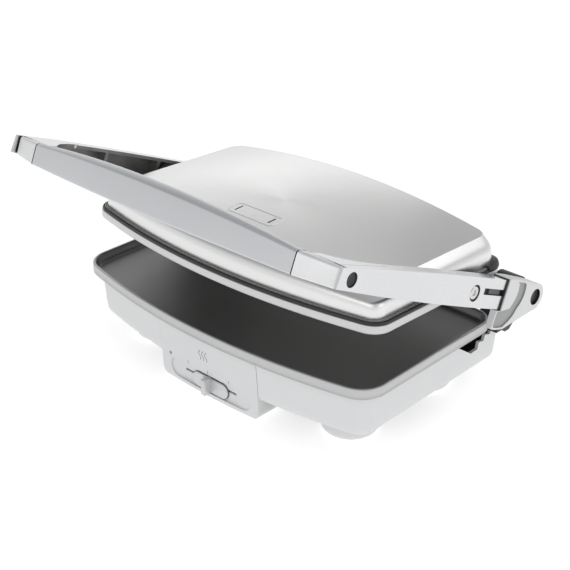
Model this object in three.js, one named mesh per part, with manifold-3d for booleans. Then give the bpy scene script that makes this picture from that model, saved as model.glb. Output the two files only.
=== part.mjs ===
// Countertop panini press: a base with a flat tray plate, a stainless lid with a ribbed plate that
// floats between two cast arms, and a bar handle across the front of the arms.
// Units are millimetres, +Z is up, +X is the user's right and -Y is the front.
import * as THREE from "three";
import { mergeVertices } from "three/addons/utils/BufferGeometryUtils.js";
import Module from "manifold-3d";

const wasm = await Module();
wasm.setup();

// ---------------------------------------------------------------- driving dimensions
const GAP = 0.35; // clearance between neighbouring pieces
const DEG = Math.PI / 180;

// Plan outline shared by the tray plate and, set in from it, the base housing.
const PLATE = { halfWidth: 170, rear: -8.5, front: -177.3, bow: 21.9, frontRadius: 25, rearRadius: 18 };
const PLATE_TOP = 74.8;
const PLATE_BAND = 9.5; // height of the plate's visible edge
const TRAY_DEPTH = 7.5;
const HOUSING_BOTTOM = 24.4;
const HOUSING_REAR = 18.2;
const HOUSING_WALL = 2.6;
const PLATE_SEAT = PLATE_TOP - PLATE_BAND - GAP; // top edge of the housing

const FOOT = { x: 116.6, frontY: -135, rearY: -36, radius: 24.8, round: 7 };
const PAD_RADIUS = 12;

// Front control pod.
const PANEL = { x: 0.6, halfWidth: 58.8, bottom: 3, top: 61.9, back: -150, wall: 2.6 };
const CONTROL_X = 2.4; // middle mark of the heat slider
const CONTROL_STEP = 24.8; // distance between heat marks
const RECESS = { halfLength: 48.8, z: 17.2, radius: 9.2, floorY: -185.4 };
const SLOT_Z = 18.5;

// Main hinge axis, across the back, and the angle that the arms stand at.
const AXIS_Y = 20.4;
const AXIS_Z = 88.3;
const ARM_ANGLE = 24 * DEG;
const ROD_RADIUS = 5;

// Arm frame: y runs back along the arm from the hinge axis, z is square to the arm.
const ARM_INNER = 171;
const ARM_OUTER = 185.2;
const ARM_WEB = 3.5;
const FLOAT_PIVOT = { y: -95.9, z: -2.2 };
const BAR_HALF = 147.7; // half length of the handle bar
const BAR_FRONT = -282.6; // front face of the bar at its ends
const BAR_BOW = 9.7;
const BAR_BOTTOM = -10.8;
const BAR_DEPTH = 13;

// Lid frame: z is square to the lid's plate, which starts at z = 0.
const LID = { halfWidth: 165.8, rear: -8.5, front: -177.3, bow: 21.9, frontRadius: 17.6, rearRadius: 18 };
const SPLIT = { backSteps: 16, sideSteps: 5 }; // splits of the crowned cover's straight edges
const CREASE = {
  halfWidth: 148.7, rear: -17, front: -146, bow: 19, frontRadius: 12, rearRadius: 9, ...SPLIT,
};
const LID_TILT = 2.45 * DEG;
const LID_Y = 13.52;
const LID_Z = 109.5;
const LID_BAND = 7.2;
const REFLECTOR = { halfWidth: 138, rear: -26, front: -148, bow: 15, frontRadius: 12, rearRadius: 12 };
const COVER_BOTTOM = 10;
const COVER_INSET = 5.6;
const COVER_FOOT = { ...LID, ...SPLIT, rear: -10 };
const CREASE_Z = 32.4;
const CROWN = 14.1; // rise of the lid's top at its rear edge
const CROWN_DROP = 6.5; // how much of that rise is gone near the front
const COVER_WALL = 1.5;
const BOSS_RADIUS = 6.2;
const INSERT_RADIUS = 4.4;

const BOX_CENTRE_Y = -108.75; // middle of the press from handle to hinge

// ---------------------------------------------------------------- finishes
const FINISH = {
  housing: { color: 0xd9dadb, roughness: 0.5, metalness: 0 },
  plate: { color: 0x3b3b3a, roughness: 0.42, metalness: 0.2 },
  steel: { color: 0xc9c8c6, roughness: 0.3, metalness: 1 },
  cast: { color: 0xd5d6d8, roughness: 0.22, metalness: 1 },
  bar: { color: 0xc6c8cb, roughness: 0.38, metalness: 0.8 },
  black: { color: 0x1c1c1d, roughness: 0.55, metalness: 0 },
  darkGrey: { color: 0x4a4b4c, roughness: 0.5, metalness: 0 },
  rubber: { color: 0x6d6e70, roughness: 0.8, metalness: 0 },
  element: { color: 0x7a7672, roughness: 0.5, metalness: 0.7 },
  sheet: { color: 0xb9bbbd, roughness: 0.35, metalness: 0.9 },
  lens: { color: 0x8f8f92, roughness: 0.25, metalness: 0 },
};

// ---------------------------------------------------------------- geometry helpers
const AXES = [new THREE.Vector3(1, 0, 0), new THREE.Vector3(0, 1, 0), new THREE.Vector3(0, 0, 1)];

function toSolid(geometry) {
  const bare = geometry.clone();
  bare.deleteAttribute("normal");
  bare.deleteAttribute("uv");
  const merged = mergeVertices(bare, 1e-3);
  return new wasm.Manifold(
    new wasm.Mesh({
      numProp: 3,
      vertProperties: new Float32Array(merged.attributes.position.array),
      triVerts: new Uint32Array(merged.index.array),
    }),
  );
}

function toGeometry(manifold) {
  const mesh = manifold.getMesh();
  const geometry = new THREE.BufferGeometry();
  geometry.setAttribute("position", new THREE.BufferAttribute(new Float32Array(mesh.vertProperties), 3));
  geometry.setIndex(new THREE.BufferAttribute(new Uint32Array(mesh.triVerts), 1));
  geometry.computeVertexNormals();
  return geometry;
}

function join(first, ...others) {
  return toGeometry(others.reduce((sum, other) => sum.add(toSolid(other)), toSolid(first)));
}

function cut(first, ...tools) {
  return toGeometry(tools.reduce((rest, tool) => rest.subtract(toSolid(tool)), toSolid(first)));
}

function common(first, other) {
  return toGeometry(toSolid(first).intersect(toSolid(other)));
}

function box(x0, x1, y0, y1, z0, z1) {
  const geometry = new THREE.BoxGeometry(x1 - x0, y1 - y0, z1 - z0);
  return geometry.translate((x0 + x1) / 2, (y0 + y1) / 2, (z0 + z1) / 2);
}

// Prism of a polygon of [y, z] points between two x positions.
function prismX(points, x0, x1) {
  const shape = new THREE.Shape(points.map(([y, z]) => new THREE.Vector2(y, z)));
  const geometry = new THREE.ExtrudeGeometry(shape, { depth: x1 - x0, bevelEnabled: false });
  geometry.applyMatrix4(new THREE.Matrix4().makeBasis(AXES[1], AXES[2], AXES[0]));
  return geometry.translate(x0, 0, 0);
}

// Prism of a shape drawn in x and z between two y positions.
function prismY(shape, y0, y1) {
  const geometry = new THREE.ExtrudeGeometry(shape, { depth: y1 - y0, bevelEnabled: false, curveSegments: 8 });
  const back = AXES[1].clone().negate();
  geometry.applyMatrix4(new THREE.Matrix4().makeBasis(AXES[0], AXES[2], back));
  return geometry.translate(0, y1, 0);
}

function cylinderX(radius, x0, x1, y, z, segments = 24) {
  const geometry = new THREE.CylinderGeometry(radius, radius, x1 - x0, segments);
  return geometry.rotateZ(-Math.PI / 2).translate((x0 + x1) / 2, y, z);
}

function cylinderY(radius, y0, y1, x, z, segments = 20) {
  return new THREE.CylinderGeometry(radius, radius, y1 - y0, segments).translate(x, (y0 + y1) / 2, z);
}

function cylinderZ(radius, z0, z1, x, y, segments = 20) {
  const geometry = new THREE.CylinderGeometry(radius, radius, z1 - z0, segments);
  return geometry.rotateX(Math.PI / 2).translate(x, y, (z0 + z1) / 2);
}

// Solid of revolution about +Z from [radius, z] points that start and end on the axis.
function turned(points, segments = 32) {
  const profile = points.map(([r, z]) => new THREE.Vector2(r, z));
  return new THREE.LatheGeometry(profile, segments).rotateX(Math.PI / 2);
}

// Rounded bar shape in x and z, its ends half circles.
function stadium(x0, x1, z, radius) {
  const shape = new THREE.Shape();
  shape.absarc(x1 - radius, z, radius, -Math.PI / 2, Math.PI / 2, false);
  shape.absarc(x0 + radius, z, radius, Math.PI / 2, Math.PI * 1.5, false);
  return shape;
}

function arcPoints(cx, cy, radius, from, to, steps) {
  return Array.from({ length: steps + 1 }, (_, i) => {
    const angle = from + ((to - from) * i) / steps;
    return new THREE.Vector2(cx + radius * Math.cos(angle), cy + radius * Math.sin(angle));
  });
}

// Points that split the straight run from one arc's end to the next arc's start.
function between(arc, next, steps) {
  return Array.from({ length: steps - 1 }, (_, i) => arc.at(-1).clone().lerp(next[0], (i + 1) / steps));
}

// Plan outline with a straight back, straight sides and a bowed front, moved in by inset.
function outline(form, inset) {
  const bowRadius = (form.halfWidth ** 2 + form.bow ** 2) / (2 * form.bow);
  const bowY = form.front - form.bow + bowRadius;
  const cornerX = form.halfWidth - form.frontRadius;
  const cornerY = bowY - Math.sqrt((bowRadius - form.frontRadius) ** 2 - cornerX ** 2);
  const swing = Math.atan2(cornerX, bowY - cornerY);
  const down = -Math.PI / 2;
  const rearX = form.halfWidth - form.rearRadius;
  const rearY = form.rear - form.rearRadius;
  const backRight = arcPoints(rearX, rearY, form.rearRadius - inset, 0, Math.PI / 2, 5);
  const backLeft = arcPoints(-rearX, rearY, form.rearRadius - inset, Math.PI / 2, Math.PI, 5);
  const frontLeft = arcPoints(-cornerX, cornerY, form.frontRadius - inset, -Math.PI, down - swing, 7);
  const frontBow = arcPoints(0, bowY, bowRadius - inset, down - swing, down + swing, 16).slice(1, -1);
  const frontRight = arcPoints(cornerX, cornerY, form.frontRadius - inset, down + swing, 0, 7);
  const { backSteps = 1, sideSteps = 1 } = form;
  return [
    ...backRight,
    ...between(backRight, backLeft, backSteps),
    ...backLeft,
    ...between(backLeft, frontLeft, sideSteps),
    ...frontLeft,
    ...frontBow,
    ...frontRight,
    ...between(frontRight, backRight, sideSteps),
  ];
}

// Ring of points at one height; height may be a number or a function of the point.
function ring(form, inset, height) {
  return outline(form, inset).map((p) => {
    const z = typeof height === "function" ? height(p.x, p.y) : height;
    return new THREE.Vector3(p.x, p.y, z);
  });
}

// Skin through rings of equal length: capped at both ends, or closed on itself.
function loft(rings, closed = false) {
  const count = rings[0].length;
  const positions = rings.flat().flatMap((p) => [p.x, p.y, p.z]);
  const index = [];
  const bands = closed ? rings.length : rings.length - 1;
  for (let r = 0; r < bands; r++) {
    const low = r * count;
    const high = ((r + 1) % rings.length) * count;
    for (let i = 0; i < count; i++) {
      const j = (i + 1) % count;
      index.push(low + i, low + j, high + j, low + i, high + j, high + i);
    }
  }
  if (!closed) {
    [rings[0], rings.at(-1)].forEach((end, side) => {
      const middle = end.reduce((sum, p) => sum.add(p), new THREE.Vector3()).divideScalar(count);
      const start = side ? (rings.length - 1) * count : 0;
      const hub = positions.length / 3;
      positions.push(middle.x, middle.y, middle.z);
      for (let i = 0; i < count; i++) {
        const j = (i + 1) % count;
        index.push(hub, start + (side ? i : j), start + (side ? j : i));
      }
    });
  }
  const geometry = new THREE.BufferGeometry();
  geometry.setAttribute("position", new THREE.Float32BufferAttribute(positions, 3));
  geometry.setIndex(index);
  return toSolid(geometry).volume() < 0 ? flipped(geometry) : geometry;
}

function flipped(geometry) {
  const index = geometry.index.array;
  for (let i = 0; i < index.length; i += 3) {
    [index[i], index[i + 1]] = [index[i + 1], index[i]];
  }
  return geometry;
}

// Copy on the other side of the press.
function mirrored(geometry) {
  const other = geometry.index ? geometry.clone() : mergeVertices(geometry.clone());
  return flipped(other.scale(-1, 1, 1));
}

// ---------------------------------------------------------------- assembly helpers
const press = new THREE.Group();
const base = new THREE.Group();
const arms = new THREE.Group();
const lid = new THREE.Group();
arms.position.set(0, AXIS_Y, AXIS_Z);
arms.rotation.x = -ARM_ANGLE;
lid.position.set(0, LID_Y, LID_Z);
lid.rotation.x = -LID_TILT;
press.add(base, arms, lid);
press.position.y = -BOX_CENTRE_Y;

function addPiece(group, name, geometry, finish) {
  const mesh = new THREE.Mesh(geometry, new THREE.MeshStandardMaterial(FINISH[finish]));
  mesh.name = name;
  group.add(mesh);
  return mesh;
}

// Adds the piece made for +X and its mirror image.
function addPair(group, name, geometry, finish) {
  addPiece(group, `${name}_right`, geometry, finish);
  addPiece(group, `${name}_left`, mirrored(geometry), finish);
}

// ---------------------------------------------------------------- base
function lowerPlate() {
  const floor = PLATE_TOP - TRAY_DEPTH;
  const band = PLATE_TOP - PLATE_BAND;
  const profile = [
    [11.2, band - 2.7],
    [11.2, band],
    [0.8, band],
    [0, band + 0.8],
    [0, PLATE_TOP - 0.6],
    [0.6, PLATE_TOP],
    [2.2, PLATE_TOP],
    [3.2, PLATE_TOP - 0.8],
    [4.8, floor + 1.4],
    [6.8, floor],
  ];
  return loft(profile.map(([inset, z]) => ring(PLATE, inset, z)));
}

function housingRing(inset, rearY, height) {
  return ring({ ...PLATE, rear: rearY + inset, rearRadius: 26 }, inset, height);
}

// Top edge of the housing: level under the plate, falling to the back behind it.
function housingTop(x, y) {
  return PLATE_SEAT - 0.49 * Math.max(0, y + 8);
}

// Stepped notch in each side wall, where the hinge stands: [y, z] points.
const NOTCH = [
  [-49.8, 57.3],
  [-29.2, 42.8],
  [-19.6, 43.3],
  [-19, 50.2],
  [-12.2, 48.3],
  [-10.7, 54.1],
  [-3.8, 51.9],
  [-2.4, 56.1],
  [5.3, 51.2],
];

function baseHousing() {
  const rings = [
    housingRing(14, HOUSING_REAR - 4, HOUSING_BOTTOM),
    housingRing(12, HOUSING_REAR - 2.2, HOUSING_BOTTOM + 1.2),
    housingRing(10.8, HOUSING_REAR - 1, HOUSING_BOTTOM + 4.6),
    housingRing(9.6, HOUSING_REAR, 46),
    housingRing(8, HOUSING_REAR, housingTop),
    housingRing(8 + HOUSING_WALL, HOUSING_REAR - HOUSING_WALL, housingTop),
    housingRing(9.6 + HOUSING_WALL, HOUSING_REAR - HOUSING_WALL, 46),
    housingRing(10.8 + HOUSING_WALL, HOUSING_REAR - 1 - HOUSING_WALL, HOUSING_BOTTOM + 4.6),
    housingRing(16.5, HOUSING_REAR - 6.4, HOUSING_BOTTOM),
  ];
  const deckSection = [
    [-19, PLATE_SEAT],
    [-8, PLATE_SEAT],
    [17, 52.9],
    [17, 50.3],
    [-8, PLATE_SEAT - 2.8],
    [-19, PLATE_SEAT - 2.8],
  ];
  const window = box(PANEL.x - 59.2, PANEL.x + 59.2, -215, PANEL.back, 20, PANEL.top + GAP);
  const notch = [...NOTCH, [30, 51.2], [30, 70], [-49.8, 70]];
  const side = prismX(notch, 147, 180);
  const shell = join(loft(rings, true), prismX(deckSection, -141.5, 141.5));
  const glandHole = cylinderY(6.4, HOUSING_REAR - 8, HOUSING_REAR + 4, 90, 40);
  return cut(shell, window, side, mirrored(side), glandHole);
}

const SCREW_SPOTS = [
  [-136, -78],
  [136, -78],
  [-60, -8],
  [60, -8],
];

function bottomCover() {
  const form = { ...PLATE, rear: HOUSING_REAR - 6.4 + 16.5, rearRadius: 26 };
  const plate = loft([ring(form, 17.2, HOUSING_BOTTOM + 0.4), ring(form, 17.2, HOUSING_BOTTOM + 2.8)]);
  const pod = box(PANEL.x - 59.2, PANEL.x + 59.2, -215, PANEL.back + GAP, 20, 30);
  const holes = SCREW_SPOTS.map(([x, y]) => cylinderZ(2, 20, 32, x, y, 12));
  return cut(plate, pod, ...holes);
}

function bottomScrew(x, y) {
  const head = cylinderZ(3.6, HOUSING_BOTTOM - 1.7, HOUSING_BOTTOM + 0.05, x, y, 16);
  const shank = cylinderZ(1.6, HOUSING_BOTTOM - 0.5, HOUSING_BOTTOM + 9, x, y, 10);
  const socket = cylinderZ(1.5, HOUSING_BOTTOM - 3, HOUSING_BOTTOM - 0.7, x, y, 6);
  return cut(join(head, shank), socket);
}

function foot(x, y) {
  const { radius, round } = FOOT;
  const edge = Array.from({ length: 6 }, (_, i) => {
    const angle = (i / 5) * (Math.PI / 2);
    return [radius - round + round * Math.sin(angle), 0.8 + round - round * Math.cos(angle)];
  });
  const top = HOUSING_BOTTOM + 0.05;
  const recess = 3.4;
  const profile = [
    [0, recess],
    [PAD_RADIUS + GAP, recess],
    [PAD_RADIUS + GAP, 0.8],
    ...edge,
    [radius, top],
    [0, top],
  ];
  return turned(profile, 36).translate(x, y, 0);
}

function footPad(x, y) {
  const profile = [
    [0, 0],
    [PAD_RADIUS - 0.8, 0],
    [PAD_RADIUS, 0.8],
    [PAD_RADIUS, 3],
    [0, 3],
  ];
  return turned(profile, 24).translate(x, y, 0);
}

// Hinge post: a stepped foot inside the side wall and a round head about the hinge axis.
function hingePost() {
  const steps = NOTCH.slice(1, 8).map(([y, z]) => [y, z - 0.6]);
  const footSection = [[-46, 34], [-46, 54], ...steps, [-2.4, 66], [1, 64], [1, 34]];
  const trunkSection = [
    [-7, 57.4],
    [-7, 71.5],
    [4, 75],
    [8.6, 86],
    [AXIS_Y, 92],
    [31.8, 86],
    [31, 80],
    [21, 68],
    [17.5, 58],
    [12, 53.6],
    [6, 53.6],
    [2, 57.4],
  ];
  const head = cylinderX(12.8, 149.5, 169.8, AXIS_Y, AXIS_Z, 36);
  const body = join(prismX(footSection, 142.6, 155.4), prismX(trunkSection, 149.5, 169.8), head);
  const bore = cylinderX(ROD_RADIUS + GAP + 0.05, 130, 190, AXIS_Y, AXIS_Z);
  return cut(body, bore);
}

// Heating element: one bent tube, its two ends turned to the back.
function heatingElement(z, reach, depth) {
  const right = reach;
  const front = -depth;
  const path = new THREE.CurvePath();
  const corner = 28;
  const points = {
    a: new THREE.Vector3(right - 40, -30, z),
    b: new THREE.Vector3(right, -30 - corner, z),
    c: new THREE.Vector3(right, front + corner, z),
    d: new THREE.Vector3(right - corner, front, z),
    e: new THREE.Vector3(-right + corner, front, z),
    f: new THREE.Vector3(-right, front + corner, z),
    g: new THREE.Vector3(-right, -30 - corner, z),
    h: new THREE.Vector3(-right + 40, -30, z),
  };
  const elbow = (from, x, y, to) => new THREE.QuadraticBezierCurve3(from, new THREE.Vector3(x, y, z), to);
  path.add(elbow(points.a, right, -30, points.b));
  path.add(new THREE.LineCurve3(points.b, points.c));
  path.add(elbow(points.c, right, front, points.d));
  path.add(new THREE.LineCurve3(points.d, points.e));
  path.add(elbow(points.e, -right, front, points.f));
  path.add(new THREE.LineCurve3(points.f, points.g));
  path.add(elbow(points.g, -right, -30, points.h));
  const section = new THREE.Shape();
  section.absarc(0, 0, 3.2, 0, Math.PI * 2, false);
  return new THREE.ExtrudeGeometry(section, {
    extrudePath: path,
    steps: 48,
    curveSegments: 5,
    bevelEnabled: false,
  });
}

// Flat sheet under or over a heating element.
function reflector(z) {
  return loft([ring(REFLECTOR, 0, z), ring(REFLECTOR, 0, z + 0.8)]);
}

function controlPanel() {
  const { x, halfWidth, bottom, top, back, wall } = PANEL;
  const rings = [
    ring(PLATE, 13.4, bottom),
    ring(PLATE, 12, bottom + 1.4),
    ring(PLATE, 11.2, bottom + 5),
    ring(PLATE, 10.5, 29),
    ring(PLATE, 9.3, 46),
    ring(PLATE, 8.2, top),
  ];
  const corner = 8;
  const face = new THREE.Shape();
  face.moveTo(x + halfWidth, top);
  face.lineTo(x - halfWidth, top);
  face.absarc(x - halfWidth + corner, bottom + corner, corner, Math.PI, Math.PI * 1.5, false);
  face.absarc(x + halfWidth - corner, bottom + corner, corner, Math.PI * 1.5, Math.PI * 2, false);
  const block = common(loft(rings), prismY(face, -215, back));
  const inner = halfWidth - wall;
  const cavity = box(x - inner, x + inner, RECESS.floorY + 2.8, back - wall, bottom + wall, top - wall);
  const wiring = box(x - inner, x + inner, back - 2 * wall, back + 5, HOUSING_BOTTOM + 3.2, top - wall);
  const left = CONTROL_X - RECESS.halfLength;
  const right = CONTROL_X + RECESS.halfLength;
  const recess = prismY(stadium(left, right, RECESS.z, RECESS.radius), -215, RECESS.floorY);
  const slot = box(CONTROL_X - 31, CONTROL_X + 31, -200, -175, SLOT_Z - 1.1, SLOT_Z + 1.1);
  const lensHole = cylinderY(1.6, -200, -175, -46.2, 28.4, 12);
  return cut(block, cavity, wiring, recess, slot, lensHole);
}

function sliderKnob() {
  const plateY = RECESS.floorY - 0.4;
  const pad = prismY(stadium(CONTROL_X - 20.8, CONTROL_X + 22.2, 15.8, 7), plateY - 1.6, plateY);
  const ridge = box(CONTROL_X - 2.4, CONTROL_X + 2.4, plateY - 9.4, plateY - 1, 8.6, 24.2);
  const stem = box(CONTROL_X - 4, CONTROL_X + 4, plateY - 1, plateY + 4.4, SLOT_Z - 0.75, SLOT_Z + 0.75);
  const keeper = box(CONTROL_X - 9, CONTROL_X + 9, plateY + 3.6, plateY + 6, 12.5, 24.5);
  return join(pad, ridge, stem, keeper);
}

function thermostat() {
  const body = box(-24, 14, -176, -160, 30.5, 52);
  const bulb = cylinderZ(6, 51, 56.5, -5, -168, 16);
  return join(body, bulb);
}

function terminalBlock() {
  const body = box(66, 112, -16, -4, 30, 44);
  const holes = [74, 84, 94, 104].map((x) => cylinderY(2.4, -20, 0, x, 37, 12));
  return cut(body, ...holes);
}

function cordGland() {
  const profile = [
    [0, 0],
    [5.9, 0],
    [5.9, 7.2],
    [8.6, 7.6],
    [8.6, 10.4],
    [6.4, 13.4],
    [0, 13.4],
  ];
  const body = turned(profile, 24);
  const bore = cylinderZ(3.6, -2, 16, 0, 0, 16);
  return cut(body, bore).rotateX(-Math.PI / 2).translate(90, HOUSING_REAR - 7, 40);
}

function buildBase() {
  addPiece(base, "base_housing", baseHousing(), "housing");
  addPiece(base, "bottom_cover", bottomCover(), "darkGrey");
  addPiece(base, "lower_plate", lowerPlate(), "plate");
  addPiece(base, "lower_element", heatingElement(58.8, 128, 143), "element");
  const podSpace = box(PANEL.x - 60, PANEL.x + 60, -215, PANEL.back + 1, 40, 60);
  addPiece(base, "lower_reflector", cut(reflector(51), podSpace), "sheet");
  addPiece(base, "control_panel", controlPanel(), "housing");
  addPiece(base, "indicator_lens", cylinderY(1.25, -187.2, -181, -46.2, 28.4, 12), "lens");
  addPiece(base, "slider_knob", sliderKnob(), "housing");
  addPiece(base, "thermostat", thermostat(), "darkGrey");
  addPiece(base, "terminal_block", terminalBlock(), "darkGrey");
  addPiece(base, "cord_gland", cordGland(), "black");
  SCREW_SPOTS.forEach(([x, y], i) => addPiece(base, `bottom_screw_${i + 1}`, bottomScrew(x, y), "steel"));
  for (const [end, y] of [["front", FOOT.frontY], ["rear", FOOT.rearY]]) {
    for (const [side, sign] of [["right", 1], ["left", -1]]) {
      addPiece(base, `foot_${end}_${side}`, foot(sign * FOOT.x, y), "housing");
      addPiece(base, `foot_pad_${end}_${side}`, footPad(sign * FOOT.x, y), "rubber");
    }
  }
  addPair(base, "hinge_post", hingePost(), "black");
  addPiece(base, "hinge_rod", cylinderX(ROD_RADIUS, -184.6, 184.6, AXIS_Y, AXIS_Z), "steel");
  addPair(base, "rod_clip", rodClip(), "black");
}

function rodClip() {
  const disc = cylinderX(6.8, 182.5, 183.6, AXIS_Y, AXIS_Z, 20);
  return cut(disc, cylinderX(ROD_RADIUS + 0.3, 180, 186, AXIS_Y, AXIS_Z));
}

// ---------------------------------------------------------------- arms and handle, in the arm frame
const ARM_TOP = [
  [-276, 6.5],
  [-228, 8.8],
  [-169, 10.3],
  [-111, 11.1],
  [-50.6, 11.3],
];
const ARM_BOTTOM = [
  [-50.6, -14],
  [-96, -14.2],
  [-156, -13.4],
  [-230, -11],
  [-277.4, -8.4],
];

// Height of a polyline of [y, z] points at one y.
function heightAt(line, y) {
  const sorted = [...line].sort((a, b) => a[0] - b[0]);
  const next = Math.max(1, sorted.findIndex(([py]) => py >= y));
  const [y0, z0] = sorted[next - 1];
  const [y1, z1] = sorted[next];
  return z0 + ((z1 - z0) * (y - y0)) / (y1 - y0);
}

// Hollow of the arm's open channel between two stations.
function armPocket(y0, y1) {
  const rim = 3;
  const section = [
    [y0, heightAt(ARM_BOTTOM, y0) + rim],
    [y1, heightAt(ARM_BOTTOM, y1) + rim],
    [y1, heightAt(ARM_TOP, y1) - rim],
    [y0, heightAt(ARM_TOP, y0) - rim],
  ];
  return prismX(section, 160, ARM_OUTER - ARM_WEB);
}

function armCasting() {
  const handleBack = BAR_FRONT + BAR_DEPTH + 0.8;
  const beam = prismX([...ARM_TOP, ...ARM_BOTTOM], ARM_INNER, ARM_OUTER);
  const tip = box(160, 182.9, -300, handleBack, -30, 30);
  const gussetPlan = new THREE.Shape();
  gussetPlan.moveTo(149.6, -handleBack);
  gussetPlan.lineTo(ARM_INNER + 5, -handleBack);
  gussetPlan.lineTo(ARM_INNER + 5, 214);
  gussetPlan.lineTo(ARM_INNER, 222);
  gussetPlan.quadraticCurveTo(168, 246, 149.6, -handleBack - 10);
  const gusset = new THREE.ExtrudeGeometry(gussetPlan, { depth: 4, bevelEnabled: false, curveSegments: 8 });
  gusset.applyMatrix4(new THREE.Matrix4().makeRotationX(Math.PI)).translate(0, 0, 7.2);
  gusset.applyMatrix4(new THREE.Matrix4().makeShear(0, 0, 0, 0.045, 0, 0)).translate(0, 0, 12);
  const pad = cylinderX(8.6, 179, ARM_OUTER - 1, FLOAT_PIVOT.y, FLOAT_PIVOT.z);
  const tongue = box(175, 182.4, -52, -22, -9, 8);
  const pockets = [
    armPocket(-226, -184),
    armPocket(-181, -118),
    armPocket(-115, -54),
  ];
  const solid = join(cut(beam, tip, ...pockets), gusset, pad, tongue);
  const counterbore = cylinderX(7.1, 182.4, 190, FLOAT_PIVOT.y, FLOAT_PIVOT.z);
  const pivotHole = cylinderX(3.5, 170, 190, FLOAT_PIVOT.y, FLOAT_PIVOT.z);
  const plugHole = cylinderX(5.8, 176, 190, -262.6, -0.9);
  const slot = box(ARM_OUTER - ARM_WEB - 0.5, 190, -82.5, -40, -2.7, 2.7);
  return cut(solid, counterbore, pivotHole, plugHole, slot);
}

function armPlug() {
  const stem = cylinderX(5.4, 176.6, 184.6, -262.6, -0.9);
  return stem;
}

function floatScrew() {
  const { y, z } = FLOAT_PIVOT;
  const head = cylinderX(5.6, 182.8, 184.7, y, z);
  const shank = cylinderX(3, 160, 183, y, z);
  const socket = cylinderX(2.2, 183.6, 190, y, z, 6);
  return cut(join(head, shank), socket);
}

function heightSlide() {
  const runner = box(178.6, 181.3, -76, -55, -5, 5);
  const tab = box(181, 184.4, -73, -55, -2.3, 2.3);
  return join(runner, tab);
}

// Bracket that carries the rear end of an arm on the hinge rod.
function hingeBracket() {
  const radius = 12;
  const head = Array.from({ length: 13 }, (_, i) => {
    const angle = (75 - i * 13) * DEG;
    return [radius * Math.cos(angle), radius * Math.sin(angle)];
  });
  const lobe = [
    [-38.3, -29.9],
    [-49.3, -31],
    [-55.4, -31],
    [-57, -29.4],
    [-57.2, -15],
    [-50, -14.8],
    [-50, 12.6],
    [-36.6, 13.2],
  ];
  const body = prismX([...head, ...lobe], 171.4, 187.3);
  const pocket = box(174.6, 182.8, -60, -21.6, -9.4, 8.4);
  const bore = cylinderX(ROD_RADIUS + GAP + 0.05, 160, 190, 0, 0);
  const counterbore = cylinderX(7.2, 182.1, 190, 0, 0);
  const relief = box(160, 181.5, -70, -36, -40, -14.9); // leaves the ear under the collar thin
  return cut(body, pocket, bore, counterbore, relief);
}

// Section of the handle bar at x: [y, z] points from the lower front edge.
function barSection(front, bottom, face, bevel, depth) {
  return [
    [front, bottom + 0.8],
    [front, bottom + face],
    [front + bevel, bottom + face + bevel * 0.75],
    [front + depth - 2, bottom + face + bevel * 0.75],
    [front + depth, bottom + face + bevel * 0.75 - 2],
    [front + depth, bottom + 2],
    [front + depth - 2, bottom],
    [front + 0.8, bottom],
  ];
}

function sectionRing(x, points) {
  return points.map(([y, z]) => new THREE.Vector3(x, y, z));
}

function handleBar() {
  const stations = 20;
  const rings = Array.from({ length: stations + 1 }, (_, i) => {
    const x = BAR_HALF * ((2 * i) / stations - 1);
    const share = 1 - (x / BAR_HALF) ** 2; // 0 at the ends, 1 in the middle
    const front = BAR_FRONT - BAR_BOW * share;
    return sectionRing(x, barSection(front, BAR_BOTTOM, 17 + 6 * share, 2 + 3 * share, BAR_DEPTH));
  });
  return loft(rings);
}

function handleEnd() {
  const inner = sectionRing(BAR_HALF + 0.5, barSection(BAR_FRONT, BAR_BOTTOM, 17, 2, BAR_DEPTH));
  const outer = sectionRing(182.2, barSection(BAR_FRONT + 8.8, -9.5, 15, 1.6, BAR_DEPTH - 8.8));
  return loft([inner, outer]);
}

function buildArms() {
  addPiece(arms, "handle_bar", handleBar(), "bar");
  addPair(arms, "handle_end", handleEnd(), "bar");
  addPair(arms, "arm", armCasting(), "cast");
  addPair(arms, "arm_plug", armPlug(), "black");
  addPair(arms, "float_screw", floatScrew(), "steel");
  addPair(arms, "height_slide", heightSlide(), "darkGrey");
  addPair(arms, "hinge_bracket", hingeBracket(), "housing");
}

// ---------------------------------------------------------------- lid, in the lid frame
// Float pivot seen from the lid.
function lidPivot() {
  const point = new THREE.Vector3(0, FLOAT_PIVOT.y, FLOAT_PIVOT.z);
  arms.updateMatrix();
  lid.updateMatrix();
  return point.applyMatrix4(arms.matrix).applyMatrix4(lid.matrix.clone().invert());
}

// Crowned top of the lid: level along both side creases, highest at the middle of the back.
function lidTop(x, y) {
  const forward = Math.max(0, (CREASE.rear - y) / 125);
  const rise = CROWN - CROWN_DROP * forward ** 1.5;
  return CREASE_Z + rise * (1 - (x / CREASE.halfWidth) ** 2);
}

// Ring of the cover's bulging wall: share 0 at the bottom edge, 1 at the crease.
function coverRing(share, wall) {
  const rest = 1 - share;
  const inward = 0.36 * rest * share ** 2 + share ** 3;
  const upward = 2.16 * rest ** 2 * share + 1.98 * rest * share ** 2 + share ** 3;
  const foot = ring(COVER_FOOT, COVER_INSET + wall, COVER_BOTTOM);
  const crease = ring(CREASE, wall, (x, y) => lidTop(x, y) - wall);
  return foot.map((p, i) => {
    const q = crease[i];
    return new THREE.Vector3(
      p.x + (q.x - p.x) * inward,
      p.y + (q.y - p.y) * inward,
      p.z + (q.z - p.z) * upward,
    );
  });
}

// Ring on the crowned top, shrunk towards the middle of the lid.
function crownRing(scale, wall) {
  const middleY = -92;
  return ring(CREASE, wall, 0).map((p) => {
    const x = p.x * scale;
    const y = middleY + (p.y - middleY) * scale;
    return new THREE.Vector3(x, y, lidTop(x, y) - wall);
  });
}

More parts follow.
